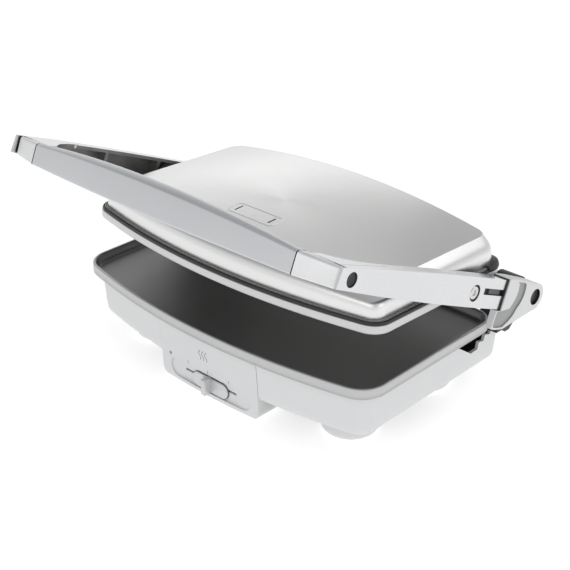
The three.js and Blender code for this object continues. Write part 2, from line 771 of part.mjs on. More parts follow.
function lidCover() {
  const wallShares = [0, 0.25, 0.45, 0.62, 0.8, 1];
  const crownScales = [0.86, 0.68, 0.48, 0.28, 0.1];
  const outer = [
    ...wallShares.map((share) => coverRing(share, 0)),
    ...crownScales.map((scale) => crownRing(scale, 0)),
  ];
  const inner = [
    ...wallShares.map((share) => coverRing(share, COVER_WALL)),
    ...crownScales.map((scale) => crownRing(scale, COVER_WALL)),
  ];
  return loft([...inner.reverse(), ...outer]);
}

function upperPlate() {
  const profile = [
    [7, 2.6],
    [4.4, 1.4],
    [3, 0.3],
    [1, 0],
    [0, 0.7],
    [0, LID_BAND - 0.4],
    [0.4, LID_BAND],
    [9.4, LID_BAND],
    [9.4, 12.2],
    [12.2, 12.2],
    [12.8, 6.4],
  ];
  const plate = loft(profile.map(([inset, z]) => ring(LID, inset, z)));
  const ribs = Array.from({ length: 19 }, (_, i) => {
    const x = (i - 9) * 15;
    const section = new THREE.Shape();
    section.moveTo(x - 2.6, 3.4);
    section.lineTo(x - 1.2, 0.2);
    section.lineTo(x + 1.2, 0.2);
    section.lineTo(x + 2.6, 3.4);
    return prismY(section, -172, -28);
  });
  return join(plate, ...ribs);
}

// Black frame between plate and cover, with a boss on each side for the float screw.
function lidFrame(pivot) {
  const profile = [
    [1.5, LID_BAND + GAP],
    [1, LID_BAND + 0.9],
    [1, COVER_BOTTOM - 1.1],
    [1.5, COVER_BOTTOM - GAP],
    [8.8, COVER_BOTTOM - GAP],
    [8.8, LID_BAND + GAP],
  ];
  const frame = loft(profile.map(([inset, z]) => ring(LID, inset, z)), true);
  const boss = cylinderX(BOSS_RADIUS, 157.2, 178.4, pivot.y, pivot.z);
  const bore = cylinderX(INSERT_RADIUS + GAP, 150, 185, pivot.y, pivot.z);
  return cut(join(frame, boss, mirrored(boss)), bore, mirrored(bore));
}

function pivotInsert(pivot) {
  const tube = cylinderX(INSERT_RADIUS, 157.6, 178, pivot.y, pivot.z);
  return cut(tube, cylinderX(3.4, 155, 185, pivot.y, pivot.z));
}

function buildLid() {
  const pivot = lidPivot();
  const hole = cylinderX(BOSS_RADIUS + GAP + 0.05, 146, 180, pivot.y, pivot.z);
  const holes = [hole, mirrored(hole)];
  addPiece(lid, "lid_cover", cut(lidCover(), ...holes), "steel");
  addPiece(lid, "lid_frame", lidFrame(pivot), "black");
  addPair(lid, "pivot_insert", pivotInsert(pivot), "steel");
  addPiece(lid, "upper_plate", cut(upperPlate(), ...holes), "plate");
  addPiece(lid, "upper_element", heatingElement(16.6, 118, 156), "element");
  addPiece(lid, "upper_reflector", reflector(22), "sheet");
}

buildBase();
buildArms();
buildLid();

export default press;
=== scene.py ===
"""Panini press, in metres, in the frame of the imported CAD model.

Shapes are drawn in millimetres in three local frames: the base, the arms (turned up about the
hinge rod) and the lid (nearly level). Every CAD node gets a procedural finish, and finer pieces
replace most of the nodes that show.
"""
import math

import bmesh
import bpy
from mathutils import Matrix, Vector


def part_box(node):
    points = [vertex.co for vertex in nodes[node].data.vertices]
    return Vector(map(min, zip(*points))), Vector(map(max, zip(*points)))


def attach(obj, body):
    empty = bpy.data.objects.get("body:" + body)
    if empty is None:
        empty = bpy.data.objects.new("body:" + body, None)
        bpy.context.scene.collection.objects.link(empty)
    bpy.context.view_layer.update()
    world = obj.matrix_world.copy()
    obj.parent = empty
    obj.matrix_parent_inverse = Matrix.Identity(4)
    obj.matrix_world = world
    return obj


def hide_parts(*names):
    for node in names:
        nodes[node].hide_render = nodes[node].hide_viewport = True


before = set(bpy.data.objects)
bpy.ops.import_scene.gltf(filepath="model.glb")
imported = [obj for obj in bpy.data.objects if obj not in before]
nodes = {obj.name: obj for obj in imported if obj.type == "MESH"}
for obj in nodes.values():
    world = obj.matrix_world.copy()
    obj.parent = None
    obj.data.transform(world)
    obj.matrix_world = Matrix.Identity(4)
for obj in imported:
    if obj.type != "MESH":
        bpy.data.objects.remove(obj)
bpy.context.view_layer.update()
scene = bpy.context.scene

# ------------------------------------------------------------------ frames and main sizes
HINGE_Y, HINGE_Z = 20.4, 88.3  # hinge axis in the base frame
ARM_ANGLE, LID_TILT = 24, 2.45  # degrees above level
LID_Y, LID_Z = 13.52, 109.5  # origin of the lid frame in the base frame

rod_low, rod_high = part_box("hinge_rod")
AXIS = (rod_low + rod_high) / 2 * 1000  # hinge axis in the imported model, in mm
SHIFT = AXIS.y - HINGE_Y
MM = Matrix.Scale(0.001, 4)
BASE = MM @ Matrix.Translation((0, SHIFT, 0))
ARMS = MM @ Matrix.Translation(AXIS) @ Matrix.Rotation(math.radians(-ARM_ANGLE), 4, "X")
LID = BASE @ Matrix.Translation((0, LID_Y, LID_Z)) @ Matrix.Rotation(math.radians(-LID_TILT), 4, "X")

# Plan outlines: half width, rear and front edges, bow of the front, front and rear corner radii.
PLATE = dict(hw=170, rear=-8.5, front=-177.3, bow=21.9, rf=25, rr=18)
LID_PLAN = dict(hw=165.8, rear=-8.5, front=-177.3, bow=21.9, rf=17.6, rr=18)
CREASE = dict(hw=148.7, rear=-17, front=-146, bow=19, rf=12, rr=9)
PLATE_TOP, PLATE_BAND, TRAY_DEPTH = 74.8, 9.5, 7.5
SEAT = PLATE_TOP - PLATE_BAND - 0.35  # top edge of the housing, under the plate

FLOAT_Y, FLOAT_Z = -95.9, -2.2  # float pivot in the arms' frame
LID_PIVOT = (LID.inverted() @ ARMS) @ Vector((0, FLOAT_Y, FLOAT_Z))
PLUG_Y, PLUG_Z = -262.6, -0.9  # round hole near the front of each arm
ARM_INNER, ARM_OUTER = 171, 185.2
BAR_HALF, BAR_FRONT, BAR_BOW, BAR_BOTTOM, BAR_DEPTH = 147.4, -282.6, 9.7, -10.8, 13
PANEL_FLOOR = -185.4  # y of the bottom of the slider's recess
FULL_TURN = 2 * math.pi


# ------------------------------------------------------------------ materials
def principled(name):
    mat = bpy.data.materials.new(name)
    mat.use_nodes = True
    tree = mat.node_tree
    return mat, tree, tree.nodes["Principled BSDF"]


def mix_rgb(tree, low, high, fac):
    ramp = tree.nodes.new("ShaderNodeValToRGB")
    ramp.color_ramp.elements[0].color = (*low, 1)
    ramp.color_ramp.elements[1].color = (*high, 1)
    tree.links.new(fac, ramp.inputs[0])
    return ramp.outputs[0]


def noise(tree, scale, detail=3, stretch=(1, 1, 1)):
    coord = tree.nodes.new("ShaderNodeTexCoord")
    mapping = tree.nodes.new("ShaderNodeMapping")
    mapping.inputs["Scale"].default_value = stretch
    tex = tree.nodes.new("ShaderNodeTexNoise")
    tex.inputs["Scale"].default_value = scale
    tex.inputs["Detail"].default_value = detail
    tree.links.new(coord.outputs["Object"], mapping.inputs[0])
    tree.links.new(mapping.outputs[0], tex.inputs["Vector"])
    return tex.outputs[0]


def map_range(tree, value, low, high, start=0.3, end=0.7):
    node = tree.nodes.new("ShaderNodeMapRange")
    for key, number in (("From Min", start), ("From Max", end), ("To Min", low), ("To Max", high)):
        node.inputs[key].default_value = number
    tree.links.new(value, node.inputs["Value"])
    return node.outputs[0]


def bump(tree, shader, height, strength, distance):
    node = tree.nodes.new("ShaderNodeBump")
    node.inputs["Strength"].default_value = strength
    node.inputs["Distance"].default_value = distance
    tree.links.new(height, node.inputs["Height"])
    tree.links.new(node.outputs[0], shader.inputs["Normal"])


def finish(name, low, high, rough, metal=0.0, grain=1800, stretch=(1, 1, 1), relief=0.15, depth=3e-5,
           cloud=14, specular=0.5, coat=0.0, anisotropic=0.0):
    """Material with cloudy colour, uneven gloss and a fine surface grain."""
    mat, tree, shader = principled(name)
    soft = noise(tree, cloud, 4)
    fine = noise(tree, grain, 2, stretch)
    tree.links.new(mix_rgb(tree, low, high, soft), shader.inputs["Base Color"])
    tree.links.new(map_range(tree, fine, rough[0], rough[1]), shader.inputs["Roughness"])
    shader.inputs["Metallic"].default_value = metal
    shader.inputs["Specular IOR Level"].default_value = specular
    shader.inputs["Coat Weight"].default_value = coat
    shader.inputs["Coat Roughness"].default_value = 0.3
    shader.inputs["Anisotropic"].default_value = anisotropic
    if relief:
        bump(tree, shader, fine, relief, depth)
    return mat


MATERIALS = {
    "housing": finish("moulded_grey", (0.66, 0.665, 0.67), (0.7, 0.705, 0.71), (0.42, 0.52), relief=0.12),
    "panel": finish("panel_grey", (0.65, 0.655, 0.66), (0.69, 0.695, 0.7), (0.4, 0.5), relief=0.1),
    "knob": finish("knob_grey", (0.6, 0.605, 0.61), (0.65, 0.655, 0.66), (0.3, 0.4), 0.45, relief=0.1),
    "band": finish("satin_rim", (0.5, 0.502, 0.506), (0.54, 0.542, 0.546), (0.3, 0.38), 0.55, 2600,
                   relief=0.08),
    "lidband": finish("satin_lid_rim", (0.58, 0.582, 0.585), (0.63, 0.632, 0.635), (0.28, 0.36), 0.6, 2600,
                      relief=0.08),
    "coat": finish("non_stick_coat", (0.22, 0.22, 0.218), (0.25, 0.249, 0.246), (0.36, 0.44), 0.85, 2400,
                   relief=0.25),
    "steel": finish("brushed_stainless", (0.75, 0.745, 0.74), (0.79, 0.785, 0.78), (0.29, 0.33), 1.0, 700,
                    (0.04, 1, 1), 0.0, anisotropic=0.3),
    "cast": finish("polished_casting", (0.66, 0.667, 0.68), (0.71, 0.717, 0.73), (0.22, 0.28), 1.0, 700,
                   relief=0.0),
    "rough_cast": finish("plain_casting", (0.14, 0.138, 0.135), (0.34, 0.335, 0.33), (0.34, 0.56), 0.9, 500,
                         relief=0.6, depth=1.2e-4, cloud=60),
    "bar": finish("satin_bar", (0.6, 0.615, 0.63), (0.64, 0.655, 0.67), (0.36, 0.44), 0.6, 2600, relief=0.06),
    "end": finish("textured_bar_end", (0.74, 0.745, 0.75), (0.84, 0.845, 0.85), (0.32, 0.44), 0.35, 900,
                  relief=0.3, depth=5e-5, cloud=70),
    "black": finish("black_plastic", (0.012, 0.012, 0.012), (0.02, 0.02, 0.02), (0.34, 0.46), relief=0.2),
    "groove": finish("groove_light", (0.5, 0.5, 0.49), (0.58, 0.58, 0.57), (0.3, 0.4), relief=0.1),
    "dark": finish("dark_grey_plastic", (0.07, 0.07, 0.07), (0.1, 0.1, 0.1), (0.4, 0.5), relief=0.2),
    # Dark grey of the hinge bracket's recessed face: painted shade.
    "recess_shade": finish("grey_painted_shade", (0.3, 0.305, 0.3), (0.35, 0.355, 0.35), (0.4, 0.5), relief=0.15),
    "rubber": finish("foot_rubber", (0.2, 0.2, 0.205), (0.25, 0.25, 0.255), (0.7, 0.85), relief=0.3),
    "plated": finish("plated_steel", (0.6, 0.59, 0.58), (0.72, 0.71, 0.7), (0.16, 0.26), 1.0, 900,
                     relief=0.06),
    "sheath": finish("element_sheath", (0.2, 0.16, 0.13), (0.34, 0.3, 0.27), (0.35, 0.55), 0.8, 300,
                     relief=0.2),
    "sheet": finish("bright_sheet", (0.66, 0.66, 0.66), (0.74, 0.74, 0.74), (0.2, 0.32), 1.0, 500,
                    relief=0.08),
    "lens": finish("smoked_lens", (0.18, 0.18, 0.185), (0.22, 0.22, 0.225), (0.08, 0.14),
                   relief=0.02, coat=0.5),
    "ink": finish("printed_mark", (0.24, 0.245, 0.25), (0.28, 0.285, 0.29), (0.5, 0.6), relief=0.05),
}

CAD_FINISH = {
    "housing": ("base_housing", "foot_front_right", "foot_front_left", "foot_rear_right", "foot_rear_left",
                "hinge_bracket_right", "hinge_bracket_left"),
    "panel": ("control_panel",),
    "knob": ("slider_knob",),
    "coat": ("lower_plate", "upper_plate"),
    "steel": ("lid_cover",),
    "cast": ("arm_right", "arm_left"),
    "bar": ("handle_bar",),
    "end": ("handle_end_right", "handle_end_left"),
    "black": ("hinge_post_right", "hinge_post_left", "lid_frame", "arm_plug_right", "arm_plug_left",
              "rod_clip_right", "rod_clip_left", "cord_gland"),
    "dark": ("bottom_cover", "thermostat", "terminal_block", "height_slide_right", "height_slide_left"),
    "rubber": ("foot_pad_front_right", "foot_pad_front_left", "foot_pad_rear_right", "foot_pad_rear_left"),
    "plated": ("hinge_rod", "float_screw_right", "float_screw_left", "pivot_insert_right",
               "pivot_insert_left", "bottom_screw_1", "bottom_screw_2", "bottom_screw_3", "bottom_screw_4"),
    "sheath": ("lower_element", "upper_element"),
    "sheet": ("lower_reflector", "upper_reflector"),
    "lens": ("indicator_lens",),
}


def dress_cad():
    """Gives every CAD node a procedural finish and softened edges."""
    for key, names in CAD_FINISH.items():
        for name in names:
            obj = nodes[name]
            obj.data.materials.clear()
            obj.data.materials.append(MATERIALS[key])
            weld = obj.modifiers.new("weld", "WELD")
            weld.merge_threshold = 2e-6
            edge = obj.modifiers.new("edge", "BEVEL")
            edge.width = 0.00025
            edge.segments = 2
            edge.limit_method = "ANGLE"
            edge.angle_limit = math.radians(38)


# ------------------------------------------------------------------ mesh helpers
def arc(cx, cy, r, a, b, n):
    """Points on a circle about (cx, cy), from angle a to angle b in n steps."""
    turns = [a + (b - a) * i / n for i in range(n + 1)]
    return [(cx + r * math.cos(t), cy + r * math.sin(t)) for t in turns]


def circle(cx, cy, r, n):
    return arc(cx, cy, r, 0, FULL_TURN, n)[:-1]


def outline(f, inset=0.0, corner=10, front=40, side=8, rear=30):
    """Plan outline with a bowed front, moved in by inset, the same count of points for any inset."""
    hw, r, fr, bow, rf, rr = f["hw"], f["rear"], f["front"], f["bow"], f["rf"], f["rr"]
    big = (hw * hw + bow * bow) / (2 * bow)
    yc = fr - bow + big
    cx = hw - rf
    cy = yc - math.sqrt((big - rf) ** 2 - cx * cx)
    swing = math.atan2(cx, yc - cy)
    down = -math.pi / 2
    back_right = arc(hw - rr, r - rr, rr - inset, 0, math.pi / 2, corner)
    back_left = arc(-(hw - rr), r - rr, rr - inset, math.pi / 2, math.pi, corner)
    front_left = arc(-cx, cy, rf - inset, -math.pi, down - swing, corner)
    bow_front = arc(0, yc, big - inset, down - swing, down + swing, front)[1:-1]
    front_right = arc(cx, cy, rf - inset, down + swing, 0, corner)

    def run(a, b, n):
        return [(a[0] + (b[0] - a[0]) * i / n, a[1] + (b[1] - a[1]) * i / n) for i in range(1, n)]

    return (back_right + run(back_right[-1], back_left[0], rear) + back_left
            + run(back_left[-1], front_left[0], side) + front_left + bow_front + front_right
            + run(front_right[-1], back_right[0], side))


def ring(f, inset, z, **k):
    return [Vector((x, y, z(x, y) if callable(z) else z)) for x, y in outline(f, inset, **k)]


def mesh_object(name, verts, faces, matrix, mats, slots=None, sharp=35):
    me = bpy.data.meshes.new(name)
    me.from_pydata([tuple(matrix @ Vector(v)) for v in verts], [], faces)
    for mat in mats:
        me.materials.append(MATERIALS[mat])
    if slots:
        for poly, s in zip(me.polygons, slots):
            poly.material_index = s
    obj = bpy.data.objects.new(name, me)
    scene.collection.objects.link(obj)
    tidy(obj, sharp)
    return obj


def tidy(obj, sharp=35):
    bm = bmesh.new()
    bm.from_mesh(obj.data)
    bmesh.ops.recalc_face_normals(bm, faces=bm.faces)
    if bm.calc_volume(signed=True) < 0:
        bmesh.ops.reverse_faces(bm, faces=bm.faces)
    bm.to_mesh(obj.data)
    bm.free()
    obj.data.shade_smooth()
    obj.data.set_sharp_from_angle(angle=math.radians(sharp))


def loft(name, rings, matrix, mats, slots=None, closed=False, sharp=35, cap=None):
    """Skin through rings of equal length; slots gives the material of each band, cap that of the ends."""
    n = len(rings[0])
    verts = [p for r in rings for p in r]
    faces, used = [], []
    bands = len(rings) if closed else len(rings) - 1
    for r in range(bands):
        s = (r + 1) % len(rings)
        for i in range(n):
            j = (i + 1) % n
            faces.append((r * n + i, r * n + j, s * n + j, s * n + i))
            used.append(slots[r] if slots else 0)
    if not closed:
        last = (len(rings) - 1) * n
        faces += [tuple(range(n - 1, -1, -1)), tuple(range(last, last + n))]
        used += [cap, cap] if cap is not None else [slots[0] if slots else 0, slots[-1] if slots else 0]
    return mesh_object(name, verts, faces, matrix, mats, used, sharp)


def prism(name, points, lo, hi, matrix, mats, axis="x", sharp=35):
    """Straight prism of a polygon; axis says along which local axis it runs."""
    def place(a, b, t):
        return {"x": (t, a, b), "y": (a, t, b), "z": (a, b, t)}[axis]

    n = len(points)
    verts = [place(a, b, lo) for a, b in points] + [place(a, b, hi) for a, b in points]
    faces = [tuple(range(n - 1, -1, -1)), tuple(range(n, 2 * n))]
    faces += [(i, (i + 1) % n, n + (i + 1) % n, n + i) for i in range(n)]
    return mesh_object(name, verts, faces, matrix, mats, None, sharp)


def slab(name, x0, x1, y0, y1, z0, z1, matrix, mats):
    return prism(name, [(y0, z0), (y1, z0), (y1, z1), (y0, z1)], x0, x1, matrix, mats)


def disc(name, cx, cy, r, lo, hi, matrix, mats, axis="x", n=48):
    return prism(name, circle(cx, cy, r, n), lo, hi, matrix, mats, axis)


def spun(profile, n):
    """Rings about local Z from (radius, z) points."""
    return [[Vector((x, y, z)) for x, y in circle(0, 0, r, n)] for r, z in profile]


def turned(name, profile, matrix, mats, n=64, sharp=35):
    """Solid of revolution about local Z from (radius, z) points."""
    return loft(name, spun(profile, n), matrix, mats, sharp=sharp)


def bake(obj, sharp=35):
    """Applies the object's modifiers to its mesh."""
    graph = bpy.context.evaluated_depsgraph_get()
    graph.update()
    made = bpy.data.meshes.new_from_object(obj.evaluated_get(graph))
    obj.modifiers.clear()
    obj.data = made
    made.shade_smooth()
    made.set_sharp_from_angle(angle=math.radians(sharp))


def carve(obj, *cutters, union=False, sharp=35):
    """Cuts the cutters out of a piece, or joins them to it, and removes them."""
    for c in cutters:
        mod = obj.modifiers.new("cut", "BOOLEAN")
        mod.operation = "UNION" if union else "DIFFERENCE"
        mod.solver = "EXACT"
        mod.material_mode = "TRANSFER"
        mod.object = c
    bake(obj, sharp)
    for c in cutters:
        bpy.data.objects.remove(c)


WELD = 5e-6  # metres


def weld(obj):
    """Merges points that a boolean left almost on top of each other, which would spoil a bevel."""
    bm = bmesh.new()
    bm.from_mesh(obj.data)
    bmesh.ops.remove_doubles(bm, verts=bm.verts, dist=WELD)
    bmesh.ops.dissolve_degenerate(bm, edges=bm.edges, dist=WELD)
    bm.to_mesh(obj.data)
    bm.free()


def soften(obj, width, segments=3, angle=40, sharp=50):
    """Rounds the edges by width millimetres."""
    weld(obj)
    mod = obj.modifiers.new("edge", "BEVEL")
    mod.width = width * 0.001
    mod.segments = segments
    mod.limit_method = "ANGLE"
    mod.angle_limit = math.radians(angle)
    mod.miter_outer = "MITER_ARC"
    bake(obj, sharp)
    weighted = obj.modifiers.new("shade", "WEIGHTED_NORMAL")
    weighted.keep_sharp = True


def recolour(obj, inside, slot):
    """Gives a material slot to the faces picked by centre and normal, both in mm in the arms' frame."""
    back = ARMS.inverted()
    turn = back.to_3x3().normalized()
    for poly in obj.data.polygons:
        if inside(back @ poly.center, turn @ poly.normal):
            poly.material_index = slot


def mirror(obj, name):
    """Copy of a piece on the other side of the press."""
    other = bpy.data.objects.new(name, obj.data.copy())
    scene.collection.objects.link(other)
    other.data.transform(Matrix.Scale(-1, 4, (1, 0, 0)))
    other.data.flip_normals()
    for mod in obj.modifiers:
        if mod.type == "WEIGHTED_NORMAL":
            other.modifiers.new("shade", "WEIGHTED_NORMAL").keep_sharp = True
    return other


def put(obj, body, *replaced, slot):
    """Joins a piece to its body and says which CAD nodes it replaces; its slot argument is not used."""
    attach(obj, body)
    if replaced:
        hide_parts(*replaced)


def pair(obj, name, body, replaced, slot):
    """Puts a right-hand piece and its mirrored copy."""
    obj.name = f"{name}_r"
    other = mirror(obj, f"{name}_l")
    put(obj, body, *([f"{replaced}_right"] if replaced else []), slot=slot)
    put(other, body, *([f"{replaced}_left"] if replaced else []), slot=slot)


# ------------------------------------------------------------------ tray plate and base
def tray_plate():
    top = PLATE_TOP
    under = top - PLATE_BAND
    floor = top - TRAY_DEPTH
    prof = [(11.2, under - 2.7), (11.2, under), (0.9, under), (0.35, under + 0.25), (0.1, under + 0.8),
            (0.35, under + 1.0), (0.35, under + 1.5), (0, under + 1.75), (0, top - 1.2), (0.12, top - 0.5),
            (0.5, top - 0.12), (1.0, top), (2.0, top), (2.6, top - 0.2), (3.1, top - 0.8), (3.7, top - 2.6),
            (4.4, floor + 2.4), (5.1, floor + 1.0), (6.0, floor + 0.25), (7.2, floor)]
    slots = [1, 1] + [0] * 9 + [0, 1] + [1] * 6
    obj = loft("tray_plate", [ring(PLATE, i, z) for i, z in prof], BASE, ["band", "coat"], slots, sharp=60)
    put(obj, "base", "lower_plate", slot="coated_plate")


def lip(x, y):
    """Top edge of the housing: level under the plate, falling to the back behind it."""
    return SEAT - 0.49 * max(0, y + 8)


LEVEL_TOP = 46  # the housing's outline is level up to this height


def housing_ring(inset, rear, z):
    return ring(dict(PLATE, rear=rear, rr=26), inset, z, rear=8, side=10)


def wall_ring(inset, rear, z):
    """Ring of the outer wall; above its level part the rings share out the height up to the lip."""
    if z <= LEVEL_TOP:
        return housing_ring(inset, rear + inset, z)
    share = (z - LEVEL_TOP) / (SEAT - LEVEL_TOP)
    return housing_ring(inset, rear + inset, lambda x, y: LEVEL_TOP + (lip(x, y) - LEVEL_TOP) * share)


# Stepped cut for the hinge post in the top of the housing's side wall, as (y, z).
NOTCH = [(-49.8, 57.3), (-29.2, 42.8), (-19.6, 43.3), (-19, 50.2), (-12.2, 48.3), (-10.7, 54.1), (-3.8, 51.9),
         (-2.4, 56.1), (5.3, 51.2)]


def base_housing():
    wall = [(15.6, 12.4, 24.4), (13.6, 14.4, 24.5), (12.5, 15.6, 25.0), (11.7, 16.5, 26.2),
            (11.1, 17.0, 28.2), (10.6, 17.4, 31.5), (10.1, 17.8, 38), (9.6, 18.2, LEVEL_TOP),
            (8.9, 18.2, 55), (8.2, 18.2, 62.2)]
    rings = [wall_ring(*step) for step in wall]
    rings.append(housing_ring(8.0, 26.2, lambda x, y: lip(x, y) - 0.5))
    rings += [housing_ring(8.4, 26.2, lip), housing_ring(10.6, 26.2, lip)]
    rings += [housing_ring(12.4, 27.8, LEVEL_TOP), housing_ring(14.4, 28, 29), housing_ring(17.0, 28, 24.4)]
    obj = loft("base_shell", rings, BASE, ["housing"], closed=True, sharp=50)
    deck = prism("deck", [(-19, 64.95), (-8, 64.95), (17, 52.7), (17, 50.3), (-8, 62.2), (-19, 62.2)],
                 -141.5, 141.5, BASE, ["housing"])
    window = slab("window", -58.6, 59.8, -215, -150, 20, 62.25, BASE, ["housing"])
    notch = NOTCH + [(30, 51.2), (30, 70), (-49.8, 70)]
    notches = [prism("notch", notch, lo, lo + 33, BASE, ["housing"]) for lo in (147, -180)]
    cord_hole = disc("hole", 90, 40, 6.4, 8, 24, BASE, ["housing"], axis="y")
    carve(obj, deck, union=True)
    carve(obj, window, *notches, cord_hole, sharp=40)
    soften(obj, 0.45, 2, 50)
    put(obj, "base", "base_housing", slot="housing_plastic")


def stadium(x0, x1, z, r, n=14):
    """Slot outline with round ends."""
    right = arc(x1 - r, z, r, -math.pi / 2, math.pi / 2, n)
    return right + arc(x0 + r, z, r, math.pi / 2, 1.5 * math.pi, n)


def control_panel():
    steps = [(14.4, 3.0), (12.9, 3.1), (12.0, 3.7), (11.45, 4.9), (11.15, 7.5), (10.9, 15), (10.5, 29),
             (9.9, 38), (9.3, 46), (8.75, 54), (8.2, 61.9)]
    obj = loft("panel", [ring(PLATE, i, z, rear=2, side=2, front=60) for i, z in steps], BASE, ["panel"])
    x0, x1, bottom, top, r = -58.2, 59.4, 3, 61.9, 8
    face = ([(x1, top), (x0, top)] + arc(x0 + r, bottom + r, r, math.pi, 1.5 * math.pi, 10)
            + arc(x1 - r, bottom + r, r, 1.5 * math.pi, FULL_TURN, 10))
    keep = prism("keep", face, -215, -150, BASE, ["panel"], axis="y")
    mod = obj.modifiers.new("keep", "BOOLEAN")
    mod.operation, mod.solver, mod.object = "INTERSECT", "EXACT", keep
    bake(obj)
    bpy.data.objects.remove(keep)
    recess = prism("recess", stadium(-46.4, 51.2, 17.2, 9.2), -215, PANEL_FLOOR, BASE, ["panel"], axis="y")
    groove = slab("groove", -28.6, 33.4, -200, -175, 17.4, 19.6, BASE, ["panel"])
    inside = slab("inside", -55.6, 56.8, PANEL_FLOOR + 2.8, -152.6, 5.6, 59.3, BASE, ["panel"])
    lens_hole = disc("hole", -46.2, 28.4, 1.6, -200, -175, BASE, ["panel"], axis="y", n=24)
    carve(obj, recess, groove, inside, lens_hole)
    soften(obj, 0.5, 3, 40)
    put(obj, "base", "control_panel", slot="housing_plastic")
    shadow = slab("slot_shadow", -29.4, 34.2, PANEL_FLOOR + 6.6, PANEL_FLOOR + 7.2, 14, 23, BASE, ["black"])
    put(shadow, "base", slot="black_plastic")


def face_y(x, z):
    """Y of the panel's face at x and height z."""
    inset = 10.5 - 2.3 * (z - 29) / 33
    half, bow = PLATE["hw"], PLATE["bow"]
    radius = (half ** 2 + bow ** 2) / (2 * bow)
    return PLATE["front"] - bow + radius - math.sqrt((radius - inset) ** 2 - x * x)


INK_LIFT, INK_DEPTH = 0.06, 0.12  # how far a printed mark stands out of the face and goes into it


def ribbon(name, path, width):
    """Thin flat line of ink along a path of (x, z) points on the panel's face."""
    verts, faces = [], []
    for i, (x, z) in enumerate(path):
        a = path[max(0, i - 1)]
        b = path[min(len(path) - 1, i + 1)]
        d = Vector((b[0] - a[0], b[1] - a[1])).normalized()
        side = Vector((-d.y, d.x)) * width / 2
        for s in (1, -1):
            px, pz = x + s * side.x, z + s * side.y
            for depth in (-INK_LIFT, INK_DEPTH):
                verts.append((px, face_y(px, pz) + depth, pz))
    for i in range(len(path) - 1):
        a, b = 4 * i, 4 * (i + 1)
        for p, q in ((0, 2), (2, 3), (3, 1), (1, 0)):
            faces.append((a + p, a + q, b + q, b + p))
    end = 4 * (len(path) - 1)
    faces += [(0, 1, 3, 2), (end, end + 2, end + 3, end + 1)]
    put(mesh_object(name, verts, faces, BASE, ["ink"]), "base", slot="dark_plastic")


def panel_marks():
    """Three heat waves, and the marks of the slider's three places."""
    steps, height, swing = 24, 9.7, 1.15
    for i, x in enumerate((-5.6, -1.9, 1.8)):
        wave = [(x + swing * math.sin(FULL_TURN * t / steps * 1.15), 39.2 + height * t / steps)
                for t in range(steps + 1)]
        ribbon(f"heat_wave_{i + 1}", wave, 0.75)
    for i, x in enumerate((-22.4, 2.4, 27.2)):
        ribbon(f"heat_mark_{i + 1}", [(x, 27.3), (x, 29.0), (x, 30.7)], 0.7)


def slider_knob():
    y = PANEL_FLOOR - 0.4  # back of the thumb pad
    pad = prism("knob", stadium(-18.4, 24.6, 15.8, 7), y - 1.6, y, BASE, ["knob"], axis="y")
    soften(pad, 0.5, 3, 40)
    ridge = prism("ridge", [(y - 9.4, 9.4), (y - 9.1, 8.8), (y - 1, 8.6), (y - 1, 24.2), (y - 8.8, 24.0),
                            (y - 9.4, 23.2)], -0.1, 4.9, BASE, ["knob"])
    soften(ridge, 0.6, 3, 40)
    step = slab("step", -4.4, -0.5, y - 2.6, y - 1.4, 9.6, 22, BASE, ["knob"])
    soften(step, 0.4, 2, 40)
    stem = slab("stem", -1.6, 6.4, y - 1, y + 4.4, 17.75, 19.25, BASE, ["knob"])
    keeper = slab("keeper", -6.6, 11.4, y + 3.6, y + 6, 12.5, 24.5, BASE, ["knob"])
    for part in (ridge, step, stem, keeper):
        part.modifiers.clear()
    carve(pad, ridge, step, stem, keeper, union=True)
    put(pad, "knob", "slider_knob", slot="housing_plastic")
    # Thin dark outline behind the thumb pad: painted shadow of the gap round the pad.
    gap_shadow = prism("knob_gap_shadow", stadium(-19, 25.2, 15.8, 7.6), y - 0.15, y + 0.2, BASE, ["dark"], axis="y")
    put(gap_shadow, "knob", slot="dark_plastic")


def feet():
    radius, roll, bottom, top = 24.8, 7.0, 0.8, 24.4
    edge = [(radius - roll + roll * math.sin(t), bottom + roll - roll * math.cos(t))
            for t in [math.pi / 2 * i / 10 for i in range(11)]]
    prof = [(0.01, 3.4), (12.4, 3.4), (12.4, 0.9), (12.6, bottom)] + edge
    prof += [(radius, 20), (radius - 0.1, top), (0.01, top)]
    for node in ("foot_front_right", "foot_front_left", "foot_rear_right", "foot_rear_left"):
        lo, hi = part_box(node)
        centre = (lo + hi) / 2 * 1000
        place = MM @ Matrix.Translation((centre.x, centre.y, 0))
        leg = turned(node.replace("foot", "leg"), prof, place, ["housing"], sharp=50)
        put(leg, "base", node, slot="housing_plastic")


# ------------------------------------------------------------------ lid
CREASE_Z, CROWN, CROWN_DROP = 32.4, 14.1, 6.5
COVER_BOTTOM, COVER_INSET, COVER_REAR, COVER_WALL = 10, 5.6, -10, 1.2
CROWN_MID = -92  # y that the rings of the crown close in on


def lid_top(x, y):
    """Crowned top: level along both side creases, highest at the middle of the back."""
    forward = max(0.0, (CREASE["rear"] - y) / 125)
    rise = CROWN - CROWN_DROP * forward ** 1.5
    return CREASE_Z + rise * (1 - (x / CREASE["hw"]) ** 2)


def cover_ring(share, wall):
    """Ring of the cover's wall: share 0 at the bottom edge, 1 at the crease."""
    rest = 1 - share
    inward = 0.36 * rest * share ** 2 + share ** 3
    upward = 2.16 * rest ** 2 * share + 1.98 * rest * share ** 2 + share ** 3
    foot = ring(dict(LID_PLAN, rear=COVER_REAR), COVER_INSET + wall, COVER_BOTTOM, rear=40, side=20)
    top = ring(CREASE, wall, lambda x, y: lid_top(x, y) - wall, rear=40, side=20)
    return [Vector((p.x + (q.x - p.x) * inward, p.y + (q.y - p.y) * inward, p.z + (q.z - p.z) * upward))
            for p, q in zip(foot, top)]


